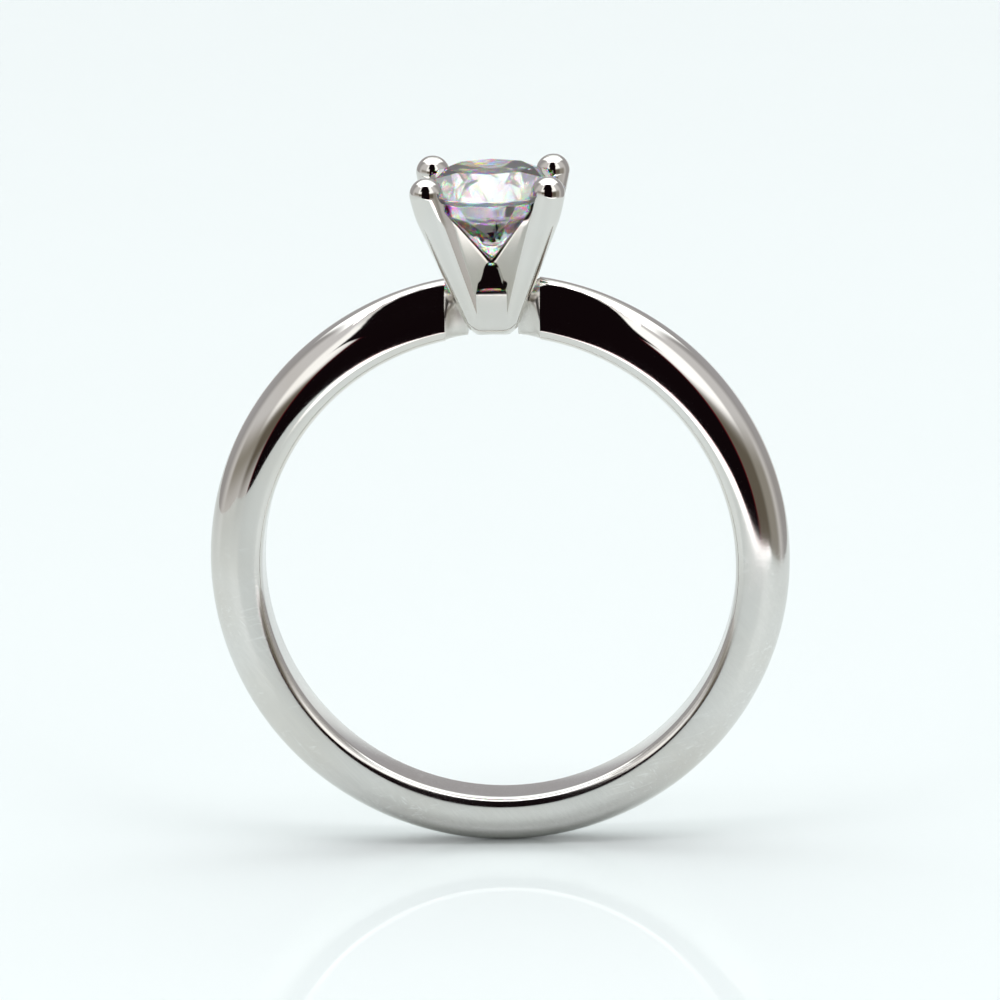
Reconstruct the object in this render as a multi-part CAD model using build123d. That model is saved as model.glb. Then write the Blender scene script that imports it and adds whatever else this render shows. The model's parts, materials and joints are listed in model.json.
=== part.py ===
from build123d import *
import math
import os

# A solitaire engagement ring: an open, crowned shank, a head of two crossed prong pairs let into a small
# base, and a round brilliant stone.  Millimetres.  The origin is the centre of the finger hole, Y is the
# finger's axis, and Z points up through the stone.

# Shank
BORE_RADIUS = 8.25              # US size 6, a finger hole 16.5 mm across
SHANK_WIDTH = 2.2
BORE_EDGE_ROUND = 0.30          # comfort-fit rounding where the bore meets each side
CREST_RADIUS = 10.12            # outer crest, about an axis set a little above the bore's
CREST_CENTRE_RISE = 0.15        # makes the shank thicker at the shoulders than at the back
FLANK_START_RADIUS = 8.78       # where each flat side turns into the crowned outside
SHANK_GAP_HALF = 1.65           # half the gap between the shank's two ends, where the head stands
BLANK_RADIUS = 12.0             # outside everything, for the ring blank before it is crowned

# Stone: a round brilliant, with its proportions as fractions of its diameter
STONE_DIAMETER = 5.2
GIRDLE_HEIGHT = 13.12           # height of the girdle's lower edge
GIRDLE_THICKNESS = 0.03
TABLE_FRACTION = 0.57
CROWN_ANGLE = 34.5
PAVILION_ANGLE = 40.75
STAR_LENGTH = 0.50
LOWER_HALF_LENGTH = 0.77
MAIN_FACETS = 8
SEAT_CLEARANCE = 0.01           # room between the stone and the notches cut for it

# Prongs: each pair is one V-shaped plate, rounded outside, that stands across a diagonal of the head
PRONG_RADIUS_TOP = 0.5          # round of the plate's outer edge where it holds the stone
PRONG_RADIUS_FOOT = 0.36        # the plate is filed thinner towards the finger
WEB_STEP = 0.015                # the flat web is this much thinner on each side than the rounded edge
PRONG_FOOT = (0.84, 8.7)        # distance from the head's axis, and height, of the round's centre line
PRONG_BEND = (2.62, 12.5)       # where the straight leg starts to curve upright
PRONG_TOP = (2.98, 13.52)
CLAW_RADIUS = 0.54
CROTCH_HEIGHT = 10.42           # bottom of the V's inner edge, under the point of the stone
CROTCH_HALF_WIDTH = 0.12
INNER_EDGE_TOP = (2.52, 12.90)
LAP_HEIGHT = 9.6                # where the two plates' half-lap slots meet
PAIR_ANGLES = {"prong_pair_a": 45, "prong_pair_b": -45}

# Head base: a small bowl with rounded corners, slotted on top for the crossed plates
BASE_SECTIONS = ((8.05, 0.40), (8.55, 0.85), (8.9, 1.01))       # height and half side
BASE_CORNER_ROUND = 0.38

# Solder: a fillet up each corner between the plates, and a wedge between the head and each shank end
FILLET_BOTTOM = (8.9, 0.42)     # height and radius of the hollow
FILLET_TOP = (10.3, 0.15)
FILLET_BITE = 0.06              # how far the uncut fillet reaches into the plates
WEDGE_HALF_WIDTH = 0.95
WEDGE_INNER = 0.88              # distance from the head's axis to the wedge's inner end
WEDGE_BOTTOM = 7.8
WEDGE_TOP_AT_SHANK = 9.82
WEDGE_TOP_AT_HEAD = 9.40

HEAD_TALL = 20.0                # a height above the whole ring, for cutting tools


def stone_radius():
    return STONE_DIAMETER / 2


def girdle_top():
    return GIRDLE_HEIGHT + GIRDLE_THICKNESS * STONE_DIAMETER


def table_height():
    rise = stone_radius() * (1 - TABLE_FRACTION) * math.tan(math.radians(CROWN_ANGLE))
    return girdle_top() + rise


def culet_height():
    return GIRDLE_HEIGHT - stone_radius() * math.tan(math.radians(PAVILION_ANGLE))


def finger_hole():
    return Rot(X=90) * Cylinder(BORE_RADIUS, BLANK_RADIUS)


def ring_section():
    """The blank's section, square outside and rounded where the bore meets the sides."""
    half = SHANK_WIDTH / 2
    round_end = BORE_RADIUS + BORE_EDGE_ROUND
    flat_end = half - BORE_EDGE_ROUND
    with BuildSketch(Plane.YZ) as section:
        with BuildLine():
            Line((-flat_end, BORE_RADIUS), (flat_end, BORE_RADIUS))
            RadiusArc((flat_end, BORE_RADIUS), (half, round_end), -BORE_EDGE_ROUND)
            Polyline((half, round_end), (half, BLANK_RADIUS), (-half, BLANK_RADIUS), (-half, round_end))
            RadiusArc((-half, round_end), (-flat_end, BORE_RADIUS), -BORE_EDGE_ROUND)
        make_face()
    return section.sketch


def crown_section():
    """Half-elliptical dome from side to side, filled in down to the ring's axis."""
    half = SHANK_WIDTH / 2
    dome = CREST_RADIUS - FLANK_START_RADIUS
    with BuildSketch(Plane.YZ) as section:
        with BuildLine():
            Polyline((half, FLANK_START_RADIUS), (half, 0), (-half, 0), (-half, FLANK_START_RADIUS))
            EllipticalCenterArc((0, FLANK_START_RADIUS), half, dome, start_angle=0, arc_size=180)
        make_face()
    return section.sketch


def shank():
    blank = revolve(ring_section(), axis=Axis.Y)
    crown = Pos(Z=CREST_CENTRE_RISE) * revolve(crown_section(), axis=Axis.Y)
    gap = Box(2 * SHANK_GAP_HALF, 2 * SHANK_WIDTH, HEAD_TALL, align=(Align.CENTER, Align.CENTER, Align.MIN))
    return (blank & crown) - gap


def at(radius, azimuth, height):
    """A point at a distance from the stone's axis, in a direction given in degrees."""
    turn = math.radians(azimuth)
    return Vector(radius * math.cos(turn), radius * math.sin(turn), height)


def keep_below_facet(solid, first, second, third):
    """Grind one facet: keep the side of the plane through three points that holds the stone's middle."""
    normal = (second - first).cross(third - first).normalized()
    middle = Vector(0, 0, GIRDLE_HEIGHT)
    if normal.dot(middle - first) > 0:
        normal = -normal
    facet = Plane(origin=first, z_dir=normal)
    return split(solid, bisect_by=facet, keep=Keep.BOTTOM)


def crown_facets(main):
    """The kite, star and two upper-girdle facets that belong to the main facet at one azimuth."""
    radius = stone_radius()
    table_radius = radius * TABLE_FRACTION
    half_step = 180 / MAIN_FACETS
    side = math.cos(math.radians(half_step))
    table_edge = table_radius * side
    star_radius = table_edge + STAR_LENGTH * (radius - table_edge)
    star_drop = (radius - star_radius * side) * math.tan(math.radians(CROWN_ANGLE))
    corner = at(table_radius, main, table_height())
    girdle = at(radius, main, girdle_top())
    across = at(radius, main + 90, 0)
    facets = [(corner, girdle, girdle + across)]
    next_corner = at(table_radius, main + 2 * half_step, table_height())
    star_tip = at(star_radius, main + half_step, girdle_top() + star_drop)
    facets.append((corner, next_corner, star_tip))
    for turn in (half_step, -half_step):
        tip = at(star_radius, main + turn, girdle_top() + star_drop)
        facets.append((girdle, at(radius, main + turn, girdle_top()), tip))
    return facets


def pavilion_facets(main):
    """The main and two lower-girdle facets under one azimuth."""
    radius = stone_radius()
    half_step = 180 / MAIN_FACETS
    side = math.cos(math.radians(half_step))
    culet = Vector(0, 0, culet_height())
    girdle = at(radius, main, GIRDLE_HEIGHT)
    across = at(radius, main + 90, 0)
    facets = [(culet, girdle, girdle + across)]
    meet_radius = (1 - LOWER_HALF_LENGTH) * radius
    meet_height = culet_height() + meet_radius * side * math.tan(math.radians(PAVILION_ANGLE))
    for turn in (half_step, -half_step):
        meet = at(meet_radius, main + turn, meet_height)
        facets.append((girdle, at(radius, main + turn, GIRDLE_HEIGHT), meet))
    return facets


def diamond():
    depth = table_height() - culet_height()
    align = (Align.CENTER, Align.CENTER, Align.MIN)
    stone = Pos(Z=culet_height()) * Cylinder(stone_radius(), depth, align=align)
    for index in range(MAIN_FACETS):
        main = index * 360 / MAIN_FACETS
        for first, second, third in crown_facets(main) + pavilion_facets(main):
            stone = keep_below_facet(stone, first, second, third)
    return stone


def stone_seat():
    """The round envelope of the stone, a little oversize, that cuts the notches in the prongs."""
    radius = stone_radius() + SEAT_CLEARANCE
    table = stone_radius() * TABLE_FRACTION
    top = table_height() + SEAT_CLEARANCE
    with BuildSketch(Plane.XZ) as section:
        with BuildLine():
            Polyline(
                (0, culet_height() - SEAT_CLEARANCE),
                (radius, GIRDLE_HEIGHT - SEAT_CLEARANCE),
                (radius, girdle_top() + SEAT_CLEARANCE),
                (table, top),
                (0, top),
                close=True,
            )
        make_face()
    return revolve(section.sketch, axis=Axis.Z)


def prong_line():
    """Centre line of one prong's rounded outer edge: a straight leg, then an arc that turns upright."""
    leg = Line((PRONG_FOOT[0], 0, PRONG_FOOT[1]), (PRONG_BEND[0], 0, PRONG_BEND[1]))
    top = TangentArc(
        (PRONG_BEND[0], 0, PRONG_BEND[1]),
        (PRONG_TOP[0], 0, PRONG_TOP[1]),
        tangent=leg % 1,
    )
    return leg, top


def plate_half_thickness(height):
    """The round's radius at a height: it grows evenly from the foot to the bend."""
    share = (height - PRONG_FOOT[1]) / (PRONG_BEND[1] - PRONG_FOOT[1])
    return PRONG_RADIUS_FOOT + share * (PRONG_RADIUS_TOP - PRONG_RADIUS_FOOT)


def plate_taper():
    """A slab across the plate that is thin at the foot and full above the bend."""
    foot = PRONG_RADIUS_FOOT - WEB_STEP
    full = PRONG_RADIUS_TOP - WEB_STEP
    with BuildSketch(Plane.YZ) as section:
        with BuildLine():
            Polyline(
                (-foot, PRONG_FOOT[1]),
                (foot, PRONG_FOOT[1]),
                (full, PRONG_BEND[1]),
                (full, HEAD_TALL),
                (-full, HEAD_TALL),
                (-full, PRONG_BEND[1]),
                close=True,
            )
        make_face()
    return extrude(section.sketch, amount=HEAD_TALL, both=True)


def prong_web():
    """The flat half-plate between one prong's rounded edge and the head's axis."""
    leg, top = prong_line()
    inner = Polyline(
        (PRONG_TOP[0], 0, PRONG_TOP[1]),
        (INNER_EDGE_TOP[0], 0, PRONG_TOP[1]),
        (INNER_EDGE_TOP[0], 0, INNER_EDGE_TOP[1]),
        (CROTCH_HALF_WIDTH, 0, CROTCH_HEIGHT),
        (0, 0, CROTCH_HEIGHT),
        (0, 0, PRONG_FOOT[1]),
        (PRONG_FOOT[0], 0, PRONG_FOOT[1]),
    )
    outline = make_face(Wire([leg, top] + inner.edges()))
    plate = extrude(outline, amount=PRONG_RADIUS_TOP, dir=(0, 1, 0), both=True)
    return plate & plate_taper()


def one_prong():
    """Half a pair, leaning out along +X: web, rounded edge and claw."""
    leg, top = prong_line()
    foot_plane = Plane(origin=leg @ 0, z_dir=leg % 0)
    bend_plane = Plane(origin=leg @ 1, z_dir=leg % 1)
    leg_round = loft([foot_plane * Circle(PRONG_RADIUS_FOOT), bend_plane * Circle(PRONG_RADIUS_TOP)])
    top_round = sweep(bend_plane * Circle(PRONG_RADIUS_TOP), path=top)
    claw = Pos(PRONG_TOP[0], 0, PRONG_TOP[1]) * Sphere(CLAW_RADIUS)
    foot_ball = Pos(foot_plane.origin) * Sphere(PRONG_RADIUS_FOOT)
    align = (Align.CENTER, Align.CENTER, Align.MAX)
    below_foot = Pos(Z=PRONG_FOOT[1]) * Box(HEAD_TALL, HEAD_TALL, HEAD_TALL, align=align)
    return prong_web() + leg_round + top_round + claw + foot_ball - below_foot


def whole_pair(angle):
    prong = one_prong()
    pair = prong + Rot(Z=180) * prong
    return Rot(Z=angle) * (pair - stone_seat())


def prong_pairs():
    """The two crossed plates, each slotted halfway where the other passes through."""
    whole = {name: whole_pair(angle) for name, angle in PAIR_ANGLES.items()}
    align = (Align.CENTER, Align.CENTER, Align.MIN)
    above_lap = Pos(Z=LAP_HEIGHT) * Box(HEAD_TALL, HEAD_TALL, HEAD_TALL, align=align)
    first, second = PAIR_ANGLES
    shared = whole[first] & whole[second]
    return {
        first: whole[first] - (shared & above_lap),
        second: whole[second] - (shared - above_lap),
    }


def head_base(pairs):
    sections = []
    for height, half_side in BASE_SECTIONS:
        sections.append(Pos(Z=height) * RectangleRounded(2 * half_side, 2 * half_side, BASE_CORNER_ROUND))
    bowl = loft(sections)
    for pair in pairs.values():
        bowl = bowl - pair
    return bowl - finger_hole()


def fillet_section(height, radius):
    """Section of one corner fillet, with the plates along X and Y: a square corner, hollowed."""
    face = plate_half_thickness(height) - WEB_STEP
    inside = face - FILLET_BITE
    outside = face + radius
    with BuildSketch(Plane.XY.offset(height)) as section:
        with BuildLine():
            RadiusArc((outside, face), (face, outside), radius)
            Polyline(
                (face, outside),
                (inside, outside),
                (inside, inside),
                (outside, inside),
                (outside, face),
            )
        make_face()
    return section.sketch


def corner_fillets(pairs):
    """Solder that runs up the four corners where the plates cross."""
    fillet_bar = loft([fillet_section(*FILLET_BOTTOM), fillet_section(*FILLET_TOP)])
    fillets = []
    for quarter in range(4):
        fillet = Rot(Z=45 + quarter * 90) * fillet_bar
        for pair in pairs.values():
            fillet = fillet - pair
        fillets.append(fillet)
    return Compound(fillets)


def solder_wedge(side, neighbours):
    """Solder between the head and one end of the shank; side is 1 or -1."""
    outline = Polyline(
        (side * SHANK_GAP_HALF, 0, WEDGE_BOTTOM),
        (side * SHANK_GAP_HALF, 0, WEDGE_TOP_AT_SHANK),
        (side * WEDGE_INNER, 0, WEDGE_TOP_AT_HEAD),
        (side * WEDGE_INNER, 0, WEDGE_BOTTOM),
        close=True,
    )
    wedge = extrude(make_face(outline), amount=WEDGE_HALF_WIDTH, dir=(0, 1, 0), both=True)
    for neighbour in neighbours:
        wedge = wedge - neighbour
    return wedge - finger_hole()


def main():
    pairs = prong_pairs()
    base = head_base(pairs)
    fillets = corner_fillets(pairs)
    head = [base, *pairs.values(), fillets]
    nodes = {
        "shank": shank(),
        "diamond": diamond(),
        "head_base": base,
        "corner_solder": fillets,
        "solder_joint_left": solder_wedge(-1, head),
        "solder_joint_right": solder_wedge(1, head),
        **pairs,
    }
    os.makedirs("parts", exist_ok=True)
    for name, shape in nodes.items():
        export_step(shape, f"parts/{name}.step")


main()
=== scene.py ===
import json
import math

import bmesh
import bpy
from mathutils import Matrix, Vector


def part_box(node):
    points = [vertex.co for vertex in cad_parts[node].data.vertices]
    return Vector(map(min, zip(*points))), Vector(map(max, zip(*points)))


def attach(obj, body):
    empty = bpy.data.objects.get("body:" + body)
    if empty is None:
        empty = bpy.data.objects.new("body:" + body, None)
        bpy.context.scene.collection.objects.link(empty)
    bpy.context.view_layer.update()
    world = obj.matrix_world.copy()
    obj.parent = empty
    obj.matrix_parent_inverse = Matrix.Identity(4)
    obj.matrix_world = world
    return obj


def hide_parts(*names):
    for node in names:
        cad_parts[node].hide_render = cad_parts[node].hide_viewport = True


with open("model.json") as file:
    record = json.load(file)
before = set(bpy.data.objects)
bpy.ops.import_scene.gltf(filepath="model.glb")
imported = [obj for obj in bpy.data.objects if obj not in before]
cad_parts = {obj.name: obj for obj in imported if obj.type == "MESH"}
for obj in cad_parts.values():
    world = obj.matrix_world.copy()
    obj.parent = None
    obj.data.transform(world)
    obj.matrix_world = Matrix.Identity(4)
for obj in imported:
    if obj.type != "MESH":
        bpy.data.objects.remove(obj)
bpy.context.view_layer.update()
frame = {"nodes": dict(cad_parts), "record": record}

MM = 0.001
TURN = 2 * math.pi
TOUCH = 1e-4
RING_MARK = "ring_angle"

# Shank. Lengths are in millimetres until a piece is finished.
BORE = frame["record"]["mounts"][0]["dims"]["r_mm"]
SHANK_HALF_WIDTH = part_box("shank")[1].y / MM
BORE_EDGE_ROUND = 0.36
BORE_EDGE_SEGMENTS = 10
SHANK_OUTLINE_POINTS = 72
SHANK_STEPS = 260
FLANK_START = 8.78
CREST_RISE = 0.15
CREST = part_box("shank")[1].x / MM
SHANK_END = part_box("solder_joint_right")[1].x / MM
GAP_ANGLE = math.radians(8)
FILING_ANGLE = math.radians(14)
SHOULDER_FOOT = 9.08
SHOULDER_SLOPE = 0.70
RIDGE_HALF = 0.2
POLISHED_EDGE = 0.05

# Head. OUT is a distance from the head's axis, ROUND a radius.
FOOT_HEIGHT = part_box("prong_pair_a")[0].z / MM
BEND_HEIGHT = 12.5
TOP_HEIGHT = 13.5
FOOT_OUT, BEND_OUT, TOP_OUT = 0.90, 2.62, 2.98
FOOT_ROUND, BEND_ROUND, CLAW_ROUND = 0.32, 0.57, 0.57
CLAW_INNER = 2.5
INNER_ROUND = 0.14
INNER_BLUNTNESS = 0.7
INNER_LEAN = 1.06
CROTCH_HEIGHT = 10.67
CROTCH_HALF_WIDTH = 0.12
CROTCH_SOFTNESS = 0.03
LAP_HEIGHT = 9.6
SLOT_BOTTOM, SLOT_TOP = 8.0, 11.2
SLOT_LENGTH = 4
LEDGE_HEIGHT = 9.9
PRONG_OUTLINE_POINTS = 60
STONE_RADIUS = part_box("diamond")[1].x / MM
GIRDLE_LOW, GIRDLE_HIGH = 13.12, 13.276
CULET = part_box("diamond")[0].z / MM
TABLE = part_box("diamond")[1].z / MM
TABLE_SHARE = 0.57
TABLE_RADIUS = TABLE_SHARE * STONE_RADIUS
SEAT_CLEARANCE = 0.008
PRONG_FACE_OUT = FOOT_OUT / math.sqrt(2) + FOOT_ROUND
SOLDER_OVERRUN = 1.08
JOINT_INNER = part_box("solder_joint_right")[0].x / MM
JOINT_LEAN = 0.03
JOINT_BOXINESS = 0.4


# ---------------------------------------------------------------- bench tools

def clear_bench():
    """Nothing stays selected, so an operator only works on what is picked next."""
    if bpy.context.mode != "OBJECT":
        bpy.ops.object.mode_set(mode="OBJECT")
    bpy.ops.object.select_all(action="DESELECT")


def pick(test, piece):
    """Select the vertices for which test(point) is true, in edit mode."""
    mesh = bmesh.from_edit_mesh(piece.data)
    mesh.select_mode = {"VERT"}
    for vertex in mesh.verts:
        vertex.select = test(vertex.co)
    mesh.select_flush_mode()
    bmesh.update_edit_mesh(piece.data)


def place_picked(piece, place):
    """Move each selected vertex to place(point)."""
    mesh = bmesh.from_edit_mesh(piece.data)
    for vertex in mesh.verts:
        if vertex.select:
            vertex.co = place(vertex.co)
    bmesh.update_edit_mesh(piece.data)


def open_ring(name, points, radius=1, **where):
    """A circle on the bench, in edit mode, that a piece is drawn out from."""
    clear_bench()
    bpy.ops.mesh.primitive_circle_add(vertices=points, radius=radius, **where)
    piece = bpy.context.object
    piece.name = piece.data.name = name
    bpy.ops.object.transform_apply(location=True, rotation=True, scale=True)
    bpy.ops.object.mode_set(mode="EDIT")
    bpy.ops.mesh.select_mode(type="VERT")
    bpy.ops.mesh.select_all(action="SELECT")
    return piece


def draw_out(piece, sections, shape):
    """Extrude the ring through the sections. shape(section, angle) gives the place of the point at an
    angle of the ring."""
    mesh = bmesh.from_edit_mesh(piece.data)
    marks = mesh.verts.layers.float.new(RING_MARK)
    for vertex in mesh.verts:
        vertex[marks] = math.atan2(vertex.co.y, vertex.co.x)
    for step, section in enumerate(sections):
        if step > 0:
            bpy.ops.mesh.extrude_region_move()
        mesh = bmesh.from_edit_mesh(piece.data)
        marks = mesh.verts.layers.float[RING_MARK]
        for vertex in mesh.verts:
            if vertex.select:
                vertex.co = shape(section, vertex[marks])
        bmesh.update_edit_mesh(piece.data)


def repeat_around(turns):
    """Copy everything on the bench around the head's axis, so that it is there turns times."""
    for turn in range(1, turns):
        bpy.ops.mesh.duplicate()
        bpy.ops.transform.rotate(value=TURN / turns, orient_axis="Z", center_override=(0, 0, 0))
    bpy.ops.mesh.select_all(action="SELECT")


def finish_piece(piece, smooth_angle=40):
    """Merge, turn the faces outwards, shade, and scale from millimetres to metres. The object stays at the
    origin."""
    bpy.ops.mesh.select_all(action="SELECT")
    bpy.ops.mesh.remove_doubles(threshold=1e-5)
    bpy.ops.mesh.normals_make_consistent(inside=False)
    clear_bench()
    piece.select_set(True)
    bpy.context.view_layer.objects.active = piece
    if RING_MARK in piece.data.attributes:
        piece.data.attributes.remove(piece.data.attributes[RING_MARK])
    piece.data.transform(Matrix.Scale(MM, 4))
    bpy.ops.object.shade_smooth_by_angle(angle=math.radians(smooth_angle))
    clear_bench()
    return piece


def carry(piece, slot, *nodes):
    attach(piece, "root")
    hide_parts(*nodes)


# ---------------------------------------------------------------- shank

def shank_section(piece):
    """Shape the circle into the band's section: a crowned outside and a rounded comfort-fit inside."""
    half = SHANK_HALF_WIDTH
    dome = CREST - FLANK_START
    pick(lambda p: p.z < FLANK_START - TOUCH, piece)
    bpy.ops.mesh.delete(type="VERT")
    bpy.ops.mesh.select_all(action="SELECT")
    bpy.ops.transform.resize(value=(1, 1, dome / half), center_override=(0, 0, FLANK_START))
    pick(lambda p: abs(p.z - FLANK_START) < TOUCH, piece)
    bpy.ops.mesh.extrude_region_move(TRANSFORM_OT_translate={"value": (0, 0, BORE - FLANK_START)})
    bpy.ops.mesh.edge_face_add()
    bpy.ops.mesh.bevel(
        offset=BORE_EDGE_ROUND, offset_type="OFFSET", segments=BORE_EDGE_SEGMENTS, affect="VERTICES"
    )
    bpy.ops.mesh.select_all(action="SELECT")


def file_shoulder(point):
    """File a flat on each side of the crown beside the head; its edges are softened by the polish."""
    reach = abs(point.x) * math.sin(FILING_ANGLE) + point.z * math.cos(FILING_ANGLE)
    limit = SHANK_HALF_WIDTH - SHOULDER_SLOPE * (reach - SHOULDER_FOOT)
    ridge = RIDGE_HALF * math.exp(-max(0, limit) / RIDGE_HALF)
    limit = max(limit, 0) + ridge
    width = abs(point.y)
    near, far = min(width, limit), max(width, limit)
    softened = near - POLISHED_EDGE * math.log(1 + math.exp((near - far) / POLISHED_EDGE))
    spare = POLISHED_EDGE * math.log(2) * math.exp(-width / POLISHED_EDGE)
    return Vector((point.x, math.copysign(max(0, softened + spare), point.y), point.z))


def make_shank():
    """Spin the section round the finger hole, lift the outside so that the band is thickest at the head,
    file the shoulders, and cut both ends upright."""
    piece = open_ring(
        "shank_band",
        SHANK_OUTLINE_POINTS,
        SHANK_HALF_WIDTH,
        location=(0, 0, FLANK_START),
        rotation=(0, math.pi / 2, 0),
    )
    shank_section(piece)
    bpy.ops.transform.rotate(value=GAP_ANGLE, orient_axis="Y", center_override=(0, 0, 0))
    bpy.ops.mesh.spin(steps=SHANK_STEPS, angle=TURN - 2 * GAP_ANGLE, center=(0, 0, 0), axis=(0, 1, 0))
    outside = BORE + BORE_EDGE_ROUND + 0.02
    pick(lambda p: math.hypot(p.x, p.z) > outside, piece)
    bpy.ops.transform.translate(value=(0, 0, CREST_RISE))
    upper = BORE / 2
    crown = FLANK_START - 0.1
    pick(lambda p: p.z > upper and math.hypot(p.x, p.z) > crown and abs(p.y) > TOUCH, piece)
    place_picked(piece, file_shoulder)
    for side in (1, -1):
        end = side * SHANK_END
        pick(lambda p: p.z > upper and 0 < side * p.x < 2 * SHANK_END, piece)
        bpy.ops.mesh.bisect(plane_co=(end, 0, 0), plane_no=(side, 0, 0), clear_inner=True)
        pick(lambda p: p.z > upper and abs(p.x - end) < TOUCH, piece)
        bpy.ops.mesh.edge_face_add()
    return finish_piece(piece, smooth_angle=60)


# ---------------------------------------------------------------- head

def leg_share(height):
    return (height - FOOT_HEIGHT) / (BEND_HEIGHT - FOOT_HEIGHT)


def edge_out(height):
    """Distance from the head's axis of the middle of a prong's rounded edge."""
    if height <= BEND_HEIGHT:
        return FOOT_OUT + leg_share(height) * (BEND_OUT - FOOT_OUT)
    lean = (BEND_OUT - FOOT_OUT) / (BEND_HEIGHT - FOOT_HEIGHT)
    span = TOP_HEIGHT - BEND_HEIGHT
    step = (height - BEND_HEIGHT) / span
    bend = TOP_OUT - BEND_OUT - lean * span
    return BEND_OUT + lean * span * step + bend * step * step


def edge_round(height):
    """Half the plate's thickness."""
    return FOOT_ROUND + min(1, max(0, leg_share(height))) * (BEND_ROUND - FOOT_ROUND)


def inner_out(height):
    """Distance from the head's axis of the V's inner edge, rounded at the crotch."""
    above = max(0, height - CROTCH_HEIGHT)
    return min(CLAW_INNER, above * INNER_LEAN + CROTCH_HALF_WIDTH * (1 - math.exp(-above / CROTCH_SOFTNESS)))


def prong_section(height):
    """One level section of a prong: its height, the middle and the reach of its outer round, half its
    thickness, and the end of its flat sides and the depth of its inner round."""
    out = edge_out(height)
    half = edge_round(height)
    small = 0.01
    lean = math.atan((edge_out(height + small) - edge_out(height - small)) / (2 * small))
    inner = inner_out(height)
    soft = min(INNER_ROUND, 0.6 * inner)
    return height, out, half / math.cos(lean), half, inner + soft, soft


def prong_sections():
    """The levels of a prong up to its claw, closer together at the crotch and at the stone's seat."""
    leg_step, seat_step = 0.15, 0.04
    above_crotch, below_seat = 10.95, 12.88
    heights = [FOOT_HEIGHT + step * leg_step for step in range(13)]
    heights += [CROTCH_HEIGHT + above for above in (0, 0.004, 0.012, 0.025, 0.045, 0.075, 0.12)]
    heights += [above_crotch + step * leg_step for step in range(13)]
    heights += [below_seat + step * seat_step for step in range(14)]
    return [prong_section(height) for height in heights]


def claw_sections():
    """The rounded claw: level slices of a ball, each a full round."""
    slices = []
    start = -0.2
    steps = 17
    for step in range(1, steps):
        angle = start + step * (math.pi / 2 - start) / steps
        radius = CLAW_ROUND * math.cos(angle)
        height = TOP_HEIGHT + CLAW_ROUND * math.sin(angle)
        slices.append((height, TOP_OUT, radius, radius, TOP_OUT, radius))
    return slices


def prong_point(section, angle):
    """A point of a prong's section: on the outer half-round, a flat side, or the blunt inner round."""
    height, out, reach, half, inner, soft = section
    along = math.cos(angle)
    across = math.sin(angle)
    flats_end = 120
    if along >= 0:
        return Vector((out + reach * along, half * across, height))
    turned = abs(math.degrees(angle))
    if turned < flats_end:
        share = (turned - 90) / (flats_end - 90)
        return Vector((out + (inner - out) * share, math.copysign(half, across), height))
    turn = (180 - turned) / (180 - flats_end) * math.pi / 2
    blunt = math.copysign(abs(math.sin(turn)) ** INNER_BLUNTNESS, across)
    return Vector((inner - soft * math.cos(turn), half * blunt, height))


def stone_surface(height):
    """Radius of the stone's round envelope at a height."""
    if height < GIRDLE_LOW:
        return max(0, STONE_RADIUS * (height - CULET) / (GIRDLE_LOW - CULET))
    slope = (STONE_RADIUS - TABLE_RADIUS) / (TABLE - GIRDLE_HIGH)
    return STONE_RADIUS - max(0, height - GIRDLE_HIGH) * slope


def seat_stone(point):
    """Press a point of the prongs clear of the stone."""
    limit = stone_surface(point.z) + SEAT_CLEARANCE
    radius = math.hypot(point.x, point.y)
    if point.z > TABLE or radius >= limit:
        return point
    return Vector((point.x * limit / radius, point.y * limit / radius, point.z))


def saw_slot(piece, angle, low, high):
    """Saw the half-lap slot for the other pair, which stands at the angle, with that pair's own taper."""
    clear_bench()
    middle = (0, 0, (low + high) / 2)
    bpy.ops.mesh.primitive_cube_add(size=1, location=middle, scale=(SLOT_LENGTH, 1, high - low))
    blade = bpy.context.object
    bpy.ops.object.transform_apply(location=True, rotation=True, scale=True)
    bpy.ops.object.mode_set(mode="EDIT")
    bpy.ops.mesh.select_all(action="SELECT")
    place_picked(blade, lambda p: Vector((p.x, math.copysign(edge_round(p.z), p.y), p.z)))
    bpy.ops.transform.rotate(value=-angle, orient_axis="Z", center_override=(0, 0, 0))
    clear_bench()
    slot = piece.modifiers.new("half_lap_slot", "BOOLEAN")
    slot.operation = "DIFFERENCE"
    slot.solver = "EXACT"
    slot.object = blade
    piece.select_set(True)
    bpy.context.view_layer.objects.active = piece
    bpy.ops.object.modifier_apply(modifier=slot.name)
    bpy.data.objects.remove(blade)


def make_prong_pair(name, angle, slot_low, slot_high):
    """A V-shaped plate: one prong drawn up from foot to claw, turned round for the other, and slotted."""
    piece = open_ring(name, PRONG_OUTLINE_POINTS)
    draw_out(piece, prong_sections() + claw_sections(), prong_point)
    bpy.ops.mesh.merge(type="CENTER")
    pick(lambda p: p.z < FOOT_HEIGHT + TOUCH, piece)
    bpy.ops.mesh.edge_face_add()
    pick(lambda p: abs(p.x) < TOUCH and p.z < CROTCH_HEIGHT + TOUCH, piece)
    bpy.ops.mesh.delete(type="FACE")
    pick(lambda p: p.z > CULET, piece)
    place_picked(piece, seat_stone)
    bpy.ops.mesh.select_all(action="SELECT")
    repeat_around(2)
    bpy.ops.mesh.remove_doubles(threshold=TOUCH)
    bpy.ops.transform.rotate(value=-angle, orient_axis="Z", center_override=(0, 0, 0))
    bpy.ops.mesh.normals_make_consistent(inside=False)
    saw_slot(piece, -angle, slot_low, slot_high)
    bpy.ops.object.mode_set(mode="EDIT")
    return finish_piece(piece, smooth_angle=35)


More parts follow.
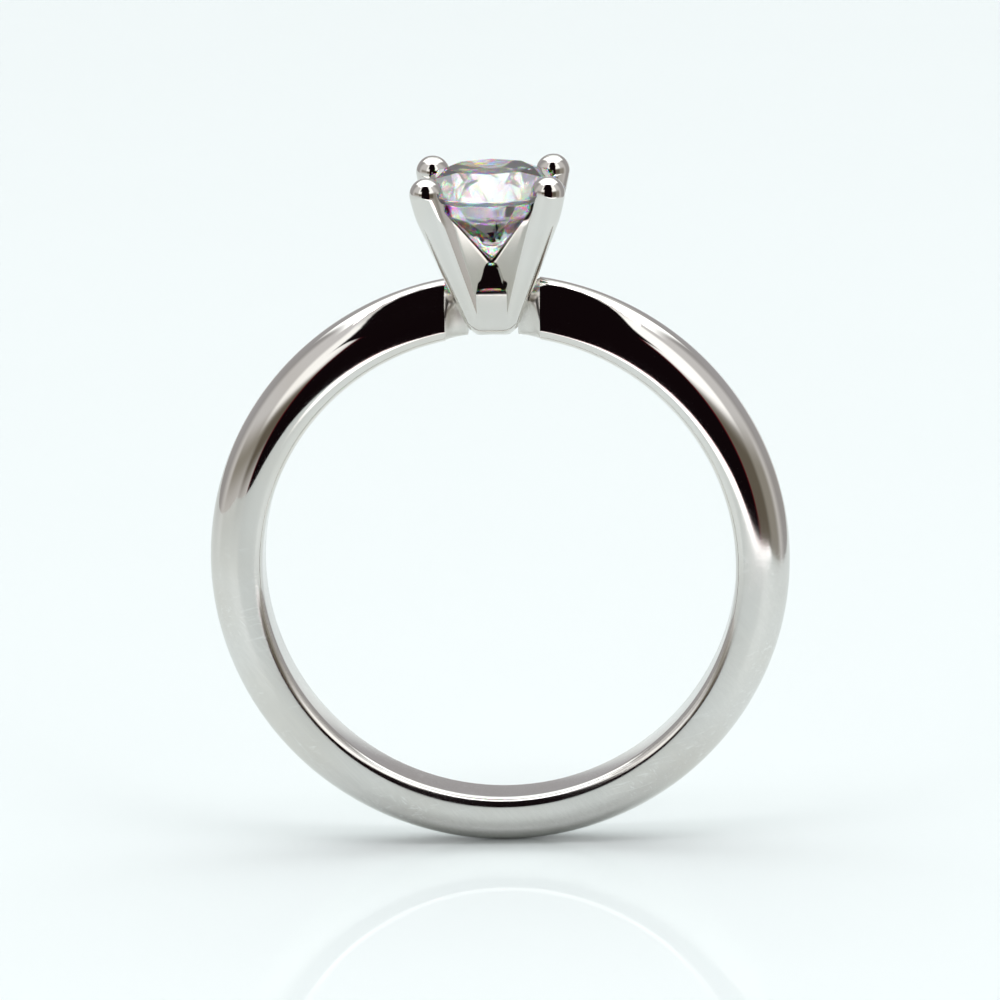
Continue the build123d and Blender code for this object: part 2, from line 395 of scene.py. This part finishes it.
def rounded_square(half, corner, angle):
    """The point of a square with rounded corners that faces an angle."""
    quarter = TURN / 4
    middle = (math.floor(angle / quarter) + 0.5) * quarter
    off = (angle - middle) / (quarter / 2)
    arc_share = 2 / 3
    turn = middle + max(-1, min(1, off / arc_share)) * quarter / 2
    x = math.copysign(half - corner, math.cos(middle)) + corner * math.cos(turn)
    y = math.copysign(half - corner, math.sin(middle)) + corner * math.sin(turn)
    beyond = max(0, (abs(off) - arc_share) / (1 - arc_share))
    if abs(math.cos(turn)) > abs(math.sin(turn)):
        return x, y * (1 - beyond)
    return x * (1 - beyond), y


def base_point(section, angle):
    """A point of the head's foot; the lowest sections lie on the wall of the finger hole."""
    height, half, corner = section
    x, y = rounded_square(half, corner, angle)
    return Vector((x, y, max(height, math.sqrt(BORE * BORE - x * x))))


def make_head_base():
    """The cup that the plates stand in: flush with their feet below, a softened ledge at its top, and the
    line of the finger hole carried on underneath."""
    ledge = LEDGE_HEIGHT
    # height, half width and round of the corners, from the ledge down to the finger hole
    profile = (
        (ledge, 0.55, 0.2),
        (ledge, 0.84, 0.3),
        (ledge, 1.02, 0.37),
        (ledge - 0.012, 1.058, 0.38),
        (ledge - 0.04, 1.078, 0.38),
        (ledge - 0.08, 1.083, 0.38),
        (ledge - 0.2, 1.073, 0.38),
        (9.5, 1.056, 0.38),
        (9.3, 1.036, 0.38),
        (9.1, 1.012, 0.37),
        (8.9, 0.985, 0.36),
        (FOOT_HEIGHT, PRONG_FACE_OUT, 0.36),
        (8.6, 0.918, 0.36),
        (8.5, 0.86, 0.35),
        (8.42, 0.80, 0.34),
        (8.34, 0.725, 0.33),
        (8.28, 0.66, 0.32),
        (8, 0.61, 0.31),
        (8, 0.4, 0.2),
        (8, 0.2, 0.1),
    )
    piece = open_ring("head_cup", 72)
    draw_out(piece, profile, base_point)
    bpy.ops.mesh.edge_face_add()
    top_hole = profile[0][1] + 0.05
    pick(lambda p: p.z > ledge - TOUCH and max(abs(p.x), abs(p.y)) < top_hole, piece)
    bpy.ops.mesh.edge_face_add()
    return finish_piece(piece)


def solder_point(section, angle):
    """A point of one corner fillet, between the plates to the left and right of +Y: a hollow front that
    runs just into both plates, and a plain back buried between them."""
    height, hollow, contact = section
    half = edge_round(height)
    out = edge_out(height)
    past = max(0, contact - out) / half
    along = min(contact, out) + half * math.sin(past)
    away = half * math.cos(past)
    side = (along - away) / math.sqrt(2)
    front = (along + away) / math.sqrt(2)
    off = (math.pi / 2 - angle + math.pi) % TURN - math.pi
    front_share = TURN / 3
    if abs(off) <= front_share:
        share = off / front_share * SOLDER_OVERRUN
        return Vector((side * share, hollow + (front - hollow) * share * share, height))
    back = (abs(off) - front_share) / (math.pi - front_share)
    deep = 0.6 * hollow
    edge = hollow + (front - hollow) * SOLDER_OVERRUN * SOLDER_OVERRUN
    x = math.copysign(side * SOLDER_OVERRUN * (1 - back), off)
    return Vector((x, edge + (deep - edge) * back, height))


def make_corner_solder():
    """Solder run into the four corners between the plates, flowing out over the cup."""
    ledge = LEDGE_HEIGHT
    # height, and distance from the head's axis of the hollow's middle and of its edge on the plate
    sections = (
        (LAP_HEIGHT, 0.93, 0.98),
        (ledge - 0.03, 1.04, 1.10),
        (ledge + 0.005, 1.035, 1.095),
        (ledge + 0.03, 1.005, 1.06),
        (ledge + 0.07, 0.97, 1.015),
        (ledge + 0.13, 0.945, 0.975),
        (10.12, 0.928, 0.94),
        (10.25, 0.912, 0.902),
        (10.38, 0.893, 0.865),
        (10.48, 0.875, 0.832),
        (10.58, 0.849, 0.785),
        (10.68, 0.806, 0.718),
        (10.75, 0.755, 0.638),
        (10.8, 0.715, 0.569),
    )
    piece = open_ring("solder_fillets", 48)
    draw_out(piece, sections, solder_point)
    bpy.ops.mesh.edge_face_add()
    pick(lambda p: p.z < LAP_HEIGHT + TOUCH, piece)
    bpy.ops.mesh.edge_face_add()
    bpy.ops.mesh.select_all(action="SELECT")
    repeat_around(4)
    return finish_piece(piece)


def joint_point(section, angle):
    """A point of a shank joint: domed above, and below it drawn in down to the finger hole."""
    x, half, dome_start, top = section
    across = math.cos(angle)
    up = math.sin(angle)
    bottom = math.sqrt(BORE * BORE - x * x)
    if up >= 0:
        return Vector((x, half * across, dome_start + (top - dome_start) * up))
    drop = abs(up) ** JOINT_BOXINESS
    y = math.copysign(half * abs(across) ** JOINT_BOXINESS, across) * (1 - JOINT_LEAN * drop)
    return Vector((x, y, dome_start - (dome_start - bottom) * drop))


def make_solder_joint(name, side):
    """Solder between one end of the shank and the head, drawn in to a shallow neck."""
    # distance from the head's axis, half width, and heights where the dome starts and ends
    profile = (
        (SHANK_END, 1.09, 8.77, 10.11),
        (1.62, 1.085, 8.85, 10.09),
        (1.57, 1.06, 9.0, 10.06),
        (1.5, 1.01, 9.15, 10.03),
        (1.42, 0.955, 9.25, 10.0),
        (1.34, 0.905, 9.32, 9.98),
        (1.25, 0.86, 9.37, 9.96),
        (1.15, 0.825, 9.4, 9.95),
        (1.0, 0.80, 9.42, 9.94),
        (JOINT_INNER, 0.79, 9.43, 9.94),
    )
    piece = open_ring(name, 64)
    sections = [(side * x, half, dome_start, top) for x, half, dome_start, top in profile]
    draw_out(piece, sections, joint_point)
    bpy.ops.mesh.edge_face_add()
    pick(lambda p: abs(p.x) > SHANK_END - TOUCH, piece)
    bpy.ops.mesh.edge_face_add()
    return finish_piece(piece)


shank = make_shank()
pair_a = make_prong_pair("prong_plate_a", math.radians(45), LAP_HEIGHT, SLOT_TOP)
pair_b = make_prong_pair("prong_plate_b", math.radians(-45), SLOT_BOTTOM, LAP_HEIGHT)
head_base = make_head_base()
corner_solder = make_corner_solder()
joint_left = make_solder_joint("shank_joint_left", -1)
joint_right = make_solder_joint("shank_joint_right", 1)

carry(shank, "polished_metal", "shank")
carry(pair_a, "polished_metal", "prong_pair_a")
carry(pair_b, "polished_metal", "prong_pair_b")
carry(head_base, "polished_metal", "head_base")
carry(corner_solder, "solder", "corner_solder")
carry(joint_left, "solder", "solder_joint_left")
carry(joint_right, "solder", "solder_joint_right")


# ---------------------------------------------------------------- finishes

# Lumps to the metre of each pattern
HAIRLINE_SCALE = 3400.0
HANDLING_SCALE = 420.0
SMEAR_SCALE = 330.0
WARMTH_SCALE = 240.0
HAZE_SCALE = 900.0
CARD_SCALE = 60.0

SHANK_TINT = (0.715, 0.70, 0.675)
HEAD_TINT = (0.70, 0.685, 0.66)
FILLET_TINT = (0.68, 0.665, 0.635)
JOINT_TINT = (0.69, 0.675, 0.645)
HAIRLINE_TINT = (0.92, 0.91, 0.89, 1)
GIRDLE_EDGE = 0.03
GIRDLE_FROST = 0.45
# for red, green and blue
DIAMOND_INDEX = (2.412, 2.42, 2.432)


def put(tree, kind, inputs=None, **settings):
    """Add a node, with its settings, its plain values and what is linked into it."""
    node = tree.nodes.new(kind)
    for name, value in settings.items():
        setattr(node, name, value)
    for name, value in (inputs or {}).items():
        if isinstance(value, bpy.types.NodeSocket):
            tree.links.new(value, node.inputs[name])
        else:
            node.inputs[name].default_value = value
    return node


def calc(tree, operation, first, second=0.0):
    """One step of arithmetic; the result's socket."""
    return put(tree, "ShaderNodeMath", {0: first, 1: second}, operation=operation).outputs[0]


def rise(tree, value, low, high, start=0.0, end=1.0):
    """A smooth step of the value, from start at low to end at high."""
    inputs = {"Value": value, "From Min": low, "From Max": high, "To Min": start, "To Max": end}
    return put(tree, "ShaderNodeMapRange", inputs, interpolation_type="SMOOTHSTEP").outputs["Result"]


def blend(tree, share, first, second):
    """Mix two colours."""
    return put(tree, "ShaderNodeMix", {0: share, 6: first, 7: second}, data_type="RGBA").outputs[2]


def speckle(tree, place, scale, detail=2.0, roughness=0.5):
    """A cloudy pattern with this many lumps to the metre."""
    inputs = {"Vector": place, "Scale": scale, "Detail": detail, "Roughness": roughness}
    return put(tree, "ShaderNodeTexNoise", inputs).outputs["Fac"]


def open_group(name, inputs, outputs):
    """A shader node group with named sockets: its tree, its input node and its output node."""
    tree = bpy.data.node_groups.new(name, "ShaderNodeTree")
    for socket, value in inputs.items():
        made = tree.interface.new_socket(socket, in_out="INPUT", socket_type="NodeSocketFloat")
        made.default_value = value
    for socket, kind in outputs.items():
        tree.interface.new_socket(socket, in_out="OUTPUT", socket_type=kind)
    return tree, tree.nodes.new("NodeGroupInput"), tree.nodes.new("NodeGroupOutput")


def scratch_group():
    """Fine hairlines left by polishing and handling, in two slanting directions."""
    tree, given, result = open_group(
        "polishing_hairlines",
        {"Fineness": 1.0, "Slant": 0.6, "Amount": 0.5},
        {"Height": "NodeSocketFloat", "Lines": "NodeSocketFloat", "Grain": "NodeSocketFloat"},
    )
    place = put(tree, "ShaderNodeTexCoord").outputs["Object"]
    lines = []
    grains = []
    along = 0.35
    for turn, across in ((0.0, 9.0), (1.1, 6.0)):
        slant = calc(tree, "ADD", given.outputs["Slant"], turn)
        turned = put(tree, "ShaderNodeCombineXYZ", {"Y": slant}).outputs[0]
        spun = put(tree, "ShaderNodeMapping", {"Vector": place, "Rotation": turned}).outputs[0]
        thin = put(tree, "ShaderNodeMapping", {"Vector": spun, "Scale": (across, across, along)}).outputs[0]
        size = calc(tree, "MULTIPLY", given.outputs["Fineness"], HAIRLINE_SCALE)
        grain = speckle(tree, thin, size, detail=3.0, roughness=0.6)
        grains.append(grain)
        lines.append(rise(tree, grain, 0.56, 0.72))
    both = calc(tree, "MAXIMUM", lines[0], lines[1])
    patchy = rise(tree, speckle(tree, place, HANDLING_SCALE), 0.38, 0.62)
    seen = calc(tree, "MULTIPLY", both, patchy)
    height = calc(tree, "MULTIPLY", seen, given.outputs["Amount"])
    tree.links.new(height, result.inputs["Height"])
    tree.links.new(seen, result.inputs["Lines"])
    tree.links.new(rise(tree, grains[0], 0.3, 0.7), result.inputs["Grain"])
    return tree


def polish_group():
    """How the polish varies: soft smears, and a dull veil that is stronger low on the ring."""
    tree, given, result = open_group(
        "polish_variation",
        {"Bright Roughness": 0.03, "Dull Roughness": 0.2, "Dull Below": -2.0},
        {"Roughness": "NodeSocketFloat", "Dullness": "NodeSocketFloat"},
    )
    place = put(tree, "ShaderNodeTexCoord").outputs["Object"]
    axes = put(tree, "ShaderNodeSeparateXYZ", {"Vector": place}).outputs
    level = calc(tree, "DIVIDE", axes["Z"], MM)
    drop = calc(tree, "SUBTRACT", given.outputs["Dull Below"], level)
    fade = 2.5
    low = rise(tree, drop, -fade, fade)
    smear = rise(tree, speckle(tree, place, SMEAR_SCALE, detail=3.0), 0.35, 0.75)
    dull = calc(tree, "MULTIPLY", low, calc(tree, "ADD", calc(tree, "MULTIPLY", smear, 0.5), 0.5))
    span = calc(tree, "SUBTRACT", given.outputs["Dull Roughness"], given.outputs["Bright Roughness"])
    rough = calc(tree, "ADD", given.outputs["Bright Roughness"], calc(tree, "MULTIPLY", span, dull))
    smear_roughness = 0.015
    rough = calc(tree, "ADD", rough, calc(tree, "MULTIPLY", smear, smear_roughness))
    tree.links.new(rough, result.inputs["Roughness"])
    tree.links.new(dull, result.inputs["Dullness"])
    return tree


HAIRLINES = scratch_group()
POLISH = polish_group()


def new_material(name):
    material = bpy.data.materials.new(name)
    material.use_nodes = True
    material.node_tree.nodes.clear()
    return material


def white_gold(name, tint, bright, dull, dull_below, fineness, slant, bite):
    """Polished white gold with smears, hairlines and a faint warm unevenness in its colour."""
    material = new_material(name)
    tree = material.node_tree
    polish = put(tree, "ShaderNodeGroup", node_tree=POLISH)
    polish_values = (("Bright Roughness", bright), ("Dull Roughness", dull), ("Dull Below", dull_below))
    for socket, value in polish_values:
        polish.inputs[socket].default_value = value
    hairlines = put(tree, "ShaderNodeGroup", node_tree=HAIRLINES)
    hairline_values = (("Fineness", fineness), ("Slant", slant), ("Amount", bite))
    for socket, value in hairline_values:
        hairlines.inputs[socket].default_value = value
    place = put(tree, "ShaderNodeTexCoord").outputs["Object"]
    warm = rise(tree, speckle(tree, place, WARMTH_SCALE), 0.35, 0.7)
    deep = tuple(channel * factor for channel, factor in zip(tint, (0.955, 0.94, 0.915)))
    colour = blend(tree, warm, (*tint, 1), (*deep, 1))
    dullness = polish.outputs["Dullness"]
    share = calc(tree, "MULTIPLY", hairlines.outputs["Lines"], dullness)
    brushed = calc(tree, "MULTIPLY", hairlines.outputs["Grain"], dullness)
    dark = tuple(channel * 0.8 for channel in tint)
    colour = blend(tree, calc(tree, "MULTIPLY", brushed, 0.55), colour, (*dark, 1))
    colour = blend(tree, calc(tree, "MULTIPLY", share, 0.8), colour, HAIRLINE_TINT)
    bite_share = calc(tree, "ADD", calc(tree, "MULTIPLY", dullness, 0.9), 0.08)
    height = calc(tree, "MULTIPLY", hairlines.outputs["Height"], bite_share)
    depth = 2e-6
    bump = put(tree, "ShaderNodeBump", {"Height": height, "Strength": 0.5, "Distance": depth})
    metal = put(tree, "ShaderNodeBsdfPrincipled", {"Base Color": colour, "Metallic": 1.0})
    tree.links.new(polish.outputs["Roughness"], metal.inputs["Roughness"])
    tree.links.new(bump.outputs[0], metal.inputs["Normal"])
    put(tree, "ShaderNodeOutputMaterial", {"Surface": metal.outputs[0]})
    return material


def brilliant():
    """Diamond, with its colours spread by giving red, green and blue their own index."""
    material = new_material("diamond_brilliant")
    tree = material.node_tree
    place = put(tree, "ShaderNodeTexCoord").outputs["Object"]
    haze = rise(tree, speckle(tree, place, HAZE_SCALE, detail=4.0), 0.45, 0.9)
    axes = put(tree, "ShaderNodeSeparateXYZ", {"Vector": place}).outputs
    level = calc(tree, "DIVIDE", axes["Z"], MM)
    flat = put(tree, "ShaderNodeCombineXYZ", {"X": axes["X"], "Y": axes["Y"]}).outputs[0]
    reach = put(tree, "ShaderNodeVectorMath", {0: flat}, operation="LENGTH").outputs[1]
    radius = calc(tree, "DIVIDE", reach, MM)
    low_edge = rise(tree, level, GIRDLE_LOW - GIRDLE_EDGE, GIRDLE_LOW)
    high_edge = rise(tree, level, GIRDLE_HIGH, GIRDLE_HIGH + GIRDLE_EDGE, 1.0, 0.0)
    rim = rise(tree, radius, STONE_RADIUS - 2 * GIRDLE_EDGE, STONE_RADIUS - GIRDLE_EDGE)
    girdle = calc(tree, "MULTIPLY", calc(tree, "MULTIPLY", low_edge, high_edge), rim)
    frost = calc(tree, "MULTIPLY", girdle, GIRDLE_FROST)
    veil = 0.965
    shaders = []
    for channel, index in enumerate(DIAMOND_INDEX):
        clear = [0.0, 0.0, 0.0, 1.0]
        clear[channel] = 1.0
        veiled = [0.0, 0.0, 0.0, 1.0]
        veiled[channel] = veil
        colour = blend(tree, haze, clear, veiled)
        glass = put(tree, "ShaderNodeBsdfGlass", {"Color": colour, "Roughness": frost, "IOR": index})
        shaders.append(glass.outputs[0])
    pair = put(tree, "ShaderNodeAddShader", {0: shaders[0], 1: shaders[1]}).outputs[0]
    whole = put(tree, "ShaderNodeAddShader", {0: pair, 1: shaders[2]}).outputs[0]
    put(tree, "ShaderNodeOutputMaterial", {"Surface": whole})
    return material


# name, tint, roughness where bright and where dull, height of the dull veil in millimetres, then the
# fineness, slant and bite of the hairlines
finishes = {
    shank: white_gold("shank_white_gold", SHANK_TINT, 0.035, 0.19, 0.5, 0.42, 0.7, 0.9),
    pair_a: white_gold("prong_white_gold", HEAD_TINT, 0.03, 0.08, 9.6, 1.5, 0.2, 0.3),
    head_base: white_gold("cup_white_gold", HEAD_TINT, 0.11, 0.16, 9.0, 1.3, 0.4, 0.3),
    corner_solder: white_gold("solder_fillet_metal", FILLET_TINT, 0.05, 0.10, 9.5, 1.2, 0.5, 0.4),
    joint_left: white_gold("solder_joint_metal", JOINT_TINT, 0.26, 0.30, 9.5, 1.1, 0.9, 0.4),
}
finishes[pair_b] = finishes[pair_a]
finishes[joint_right] = finishes[joint_left]
for piece, finish in finishes.items():
    piece.data.materials.clear()
    piece.data.materials.append(finish)
stone = frame["nodes"]["diamond"]
stone.material_slots[0].material = brilliant()


# ---------------------------------------------------------------- studio

# The card's edges, in metres from the ring's middle, and its glow, in millimetres from the front edge
FLOOR_LEFT = 0.3
FLOOR_RIGHT = 0.050
FLOOR_FRONT = 0.0687
FLOOR_SLANT = 0.6
FLOOR_BACK = 0.6
CARD_COLOURS = ((0.83, 0.893, 0.893, 1), (0.845, 0.908, 0.908, 1))
CARD_GLOSS = 0.5
CARD_GLOSS_ROUGHNESS = 0.035
NO_GLOW = (0, 0, 0, 1)
RIBBON_GLOW = (1.7, 1.65, 1.7, 1)
RIBBON_WIDTH = (15.0, 9.0)
FRINGE_GLOW = (0.5, 0.0, 0.02, 1)
FRINGE_WIDTH = (3.0, 1.5)
GLOW_START = (-10.5, -8.5)
SEEN_GLOW = (0.075, 0.08, 0.08, 1)

# Camera: angles in degrees, sizes in millimetres
CAMERA_YAW, CAMERA_PITCH, CAMERA_ROLL = 3.0, 12.9, -1.5
CAMERA_DISTANCE = 299
AIM_HEIGHT = 2.17
LENS = 308.3
SENSOR_WIDTH = 36

# Light tent: colours, of which those over 1 are lamps, and where each patch of wall is, in degrees
LOW_WALL = (0.70, 0.69, 0.68, 1)
HIGH_WALL = (0.78, 0.765, 0.77, 1)
DIM_SIDE = (0.42, 0.41, 0.41)
DIM_BACK = (0.44, 0.43, 0.44)
BRIGHT_BACK = (0.95, 1.0, 1.0)
TABLE_TOP = (0.85, 0.85, 0.84)
GREY_WALL = (0.34, 0.32, 0.28)
BROWN_WALL = (0.15, 0.13, 0.10)
RIGHT_LAMP = (1.5, 1.5, 1.48)
LEFT_LAMP = (1.35, 1.35, 1.33)
OPENING_EDGE = (0.16, 0.004, 0.012)
OPENING = (0.006, 0.003, 0.004)
OVERHEAD_PANEL = (1.9, 1.95, 1.95)
LAMP_BEADS = (6.0, 5.8, 6.0)
# radians of the row's beat to each degree
BEAD_RATE = 2.6
PLAIN_BACKGROUND = (0.93, 1.0, 1.0, 1)
STONE_LIFT = 0.55
# colour, left, right, low, high and softness of the edges
WALL_PATCHES = (
    (GREY_WALL, -85.0, -3.0, 2.0, 14.0, 6.0),
    (GREY_WALL, -3.0, 85.0, -20.0, 14.0, 8.0),
    (RIGHT_LAMP, 30.0, 62.0, 17.0, 58.0, 5.0),
    (LEFT_LAMP, -52.0, -29.0, 14.0, 52.0, 5.0),
    (BROWN_WALL, -45.0, -3.0, -2.0, 11.0, 5.0),
    (BROWN_WALL, -3.0, 56.0, -15.0, 11.0, 6.0),
)


def make_floor():
    """A sheet of white card. Its front edge runs slanting, a little way in front of the ring."""
    clear_bench()
    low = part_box("shank")[0].z
    middle = ((FLOOR_RIGHT - FLOOR_LEFT) / 2, (FLOOR_BACK - FLOOR_FRONT) / 2, low)
    bpy.ops.mesh.primitive_plane_add(size=1, location=middle)
    floor = bpy.context.object
    floor.name = floor.data.name = "studio_floor"
    floor.scale = (FLOOR_LEFT + FLOOR_RIGHT, FLOOR_BACK + FLOOR_FRONT, 1)
    bpy.ops.object.transform_apply(location=True, rotation=True, scale=True)
    bpy.ops.object.mode_set(mode="EDIT")
    pick(lambda p: p.y < 0, floor)
    place_picked(floor, lambda p: Vector((p.x, p.x * FLOOR_SLANT - FLOOR_FRONT, p.z)))
    clear_bench()
    material = new_material("white_card")
    tree = material.node_tree
    place = put(tree, "ShaderNodeTexCoord").outputs["Object"]
    grain = speckle(tree, place, CARD_SCALE, detail=3.0)
    colour = blend(tree, grain, *CARD_COLOURS)
    card = put(tree, "ShaderNodeBsdfPrincipled", {"Base Color": colour, "Roughness": 0.9})
    card.inputs["Coat Weight"].default_value = CARD_GLOSS
    card.inputs["Coat Roughness"].default_value = CARD_GLOSS_ROUGHNESS
    axes = put(tree, "ShaderNodeSeparateXYZ", {"Vector": place}).outputs
    across = calc(tree, "DIVIDE", axes["X"], MM)
    back = calc(tree, "DIVIDE", axes["Y"], MM)
    from_front = calc(tree, "ADD", back, FLOOR_FRONT / MM)
    from_edge = calc(tree, "SUBTRACT", from_front, calc(tree, "MULTIPLY", across, FLOOR_SLANT))
    beside = rise(tree, across, *GLOW_START)
    ribbon = calc(tree, "MULTIPLY", rise(tree, from_edge, *RIBBON_WIDTH), beside)
    fringe = calc(tree, "MULTIPLY", rise(tree, from_edge, *FRINGE_WIDTH), beside)
    glow = blend(tree, ribbon, NO_GLOW, RIBBON_GLOW)
    glow = blend(tree, fringe, glow, FRINGE_GLOW)
    card.inputs["Emission Strength"].default_value = 1.0
    # the glowing ribbon shows in reflections only
    unseen = calc(tree, "SUBTRACT", 1.0, put(tree, "ShaderNodeLightPath").outputs["Is Camera Ray"])
    glow = blend(tree, unseen, SEEN_GLOW, glow)
    tree.links.new(glow, card.inputs["Emission Color"])
    put(tree, "ShaderNodeOutputMaterial", {"Surface": card.outputs[0]})
    floor.data.materials.append(material)


def window(tree, value, low, high, soft):
    """1 between low and high, falling to 0 over soft on either side."""
    up = rise(tree, value, low - soft, low + soft)
    down = rise(tree, value, high - soft, high + soft, 1.0, 0.0)
    return calc(tree, "MULTIPLY", up, down)


def light_tent():
    """A white light tent as its surroundings: an open dark front with a row of small lamps over it, a bright
    panel overhead, and plain walls. Directions are in degrees: side is 0 at the front and + to the right."""
    world = bpy.data.worlds.new("light_tent")
    world.use_nodes = True
    bpy.context.scene.world = world
    tree = world.node_tree
    tree.nodes.clear()
    way = put(tree, "ShaderNodeTexCoord").outputs["Generated"]
    axes = put(tree, "ShaderNodeSeparateXYZ", {"Vector": way}).outputs
    degree = 180 / math.pi
    front = calc(tree, "MULTIPLY", axes["Y"], -1.0)
    side = calc(tree, "MULTIPLY", calc(tree, "ARCTAN2", axes["X"], front), degree)
    up = calc(tree, "MULTIPLY", calc(tree, "ARCSINE", axes["Z"]), degree)
    far = calc(tree, "ABSOLUTE", side)
    # how far overhead a direction is, counted from the front horizon over the top to the back one
    over = calc(tree, "MULTIPLY", calc(tree, "ARCTAN2", axes["Z"], front), degree)
    lean = calc(tree, "MULTIPLY", calc(tree, "ARCSINE", axes["X"]), degree)

    def layer(colour, mask):
        return blend(tree, mask, look, (*colour, 1))

    def both(first, second):
        return calc(tree, "MULTIPLY", first, second)

    look = blend(tree, rise(tree, up, -20.0, 75.0), LOW_WALL, HIGH_WALL)
    look = layer(DIM_SIDE, window(tree, far, 100.0, 150.0, 12.0))
    look = layer(BRIGHT_BACK, rise(tree, far, 148.0, 168.0))
    look = layer(DIM_BACK, both(rise(tree, far, 105.0, 125.0), window(tree, up, 6.0, 33.0, 4.0)))
    look = layer(TABLE_TOP, rise(tree, up, -16.0, -24.0))
    for colour, left, right, low, high, soft in WALL_PATCHES:
        look = layer(colour, both(window(tree, side, left, right, soft), window(tree, up, low, high, soft)))
    edge = both(window(tree, side, -27.0, 29.0, 1.2), window(tree, over, -60.0, 70.0, 1.0))
    middle = both(window(tree, side, -26.0, 27.5, 2.0), window(tree, over, -60.0, 68.5, 2.0))
    upper = both(window(tree, side, -38.0, 34.0, 2.0), window(tree, over, 33.0, 68.5, 2.0))
    look = layer(OPENING_EDGE, edge)
    look = layer(OPENING, calc(tree, "MAXIMUM", middle, upper))
    panel = both(window(tree, over, 79.0, 132.0, 3.0), window(tree, lean, -40.0, 40.0, 4.0))
    look = layer(OVERHEAD_PANEL, panel)
    beat = calc(tree, "SINE", calc(tree, "MULTIPLY", lean, BEAD_RATE))
    row = both(window(tree, over, 70.5, 77.5, 0.8), window(tree, lean, -33.0, 33.0, 1.0))
    look = layer(LAMP_BEADS, both(row, rise(tree, beat, -0.5, 0.1)))
    path = put(tree, "ShaderNodeLightPath").outputs
    # light that comes through the stone is a little stronger
    lift = calc(tree, "ADD", calc(tree, "MULTIPLY", path["Is Transmission Ray"], STONE_LIFT), 1.0)
    sheet = put(tree, "ShaderNodeBackground", {"Color": look, "Strength": lift}).outputs[0]
    plain = put(tree, "ShaderNodeBackground", {"Color": PLAIN_BACKGROUND, "Strength": 1.0}).outputs[0]
    whole = put(tree, "ShaderNodeMixShader", {0: path["Is Camera Ray"], 1: sheet, 2: plain}).outputs[0]
    put(tree, "ShaderNodeOutputWorld", {"Surface": whole})


def make_camera():
    """A long lens in front, a little above the ring's middle."""
    yaw, pitch, roll = (math.radians(turn) for turn in (CAMERA_YAW, CAMERA_PITCH, CAMERA_ROLL))
    distance = CAMERA_DISTANCE * MM
    back = Vector((math.sin(yaw) * math.cos(pitch), -math.cos(yaw) * math.cos(pitch), math.sin(pitch)))
    right = (-back).cross(Vector((0, 0, 1))).normalized()
    up = right.cross(-back)
    right, up = (
        math.cos(roll) * right + math.sin(roll) * up,
        math.cos(roll) * up - math.sin(roll) * right,
    )
    aim = up * AIM_HEIGHT * MM
    data = bpy.data.cameras.new("camera")
    data.sensor_width = SENSOR_WIDTH
    data.lens = LENS
    data.clip_start = 0.01
    data.clip_end = 10
    camera = bpy.data.objects.new("camera", data)
    bpy.context.scene.collection.objects.link(camera)
    turn = Matrix((right, up, back)).transposed().to_4x4()
    camera.matrix_world = Matrix.Translation(aim + back * distance) @ turn
    bpy.context.scene.camera = camera


make_floor()
light_tent()
make_camera()
bpy.context.scene.view_settings.view_transform = "Standard"
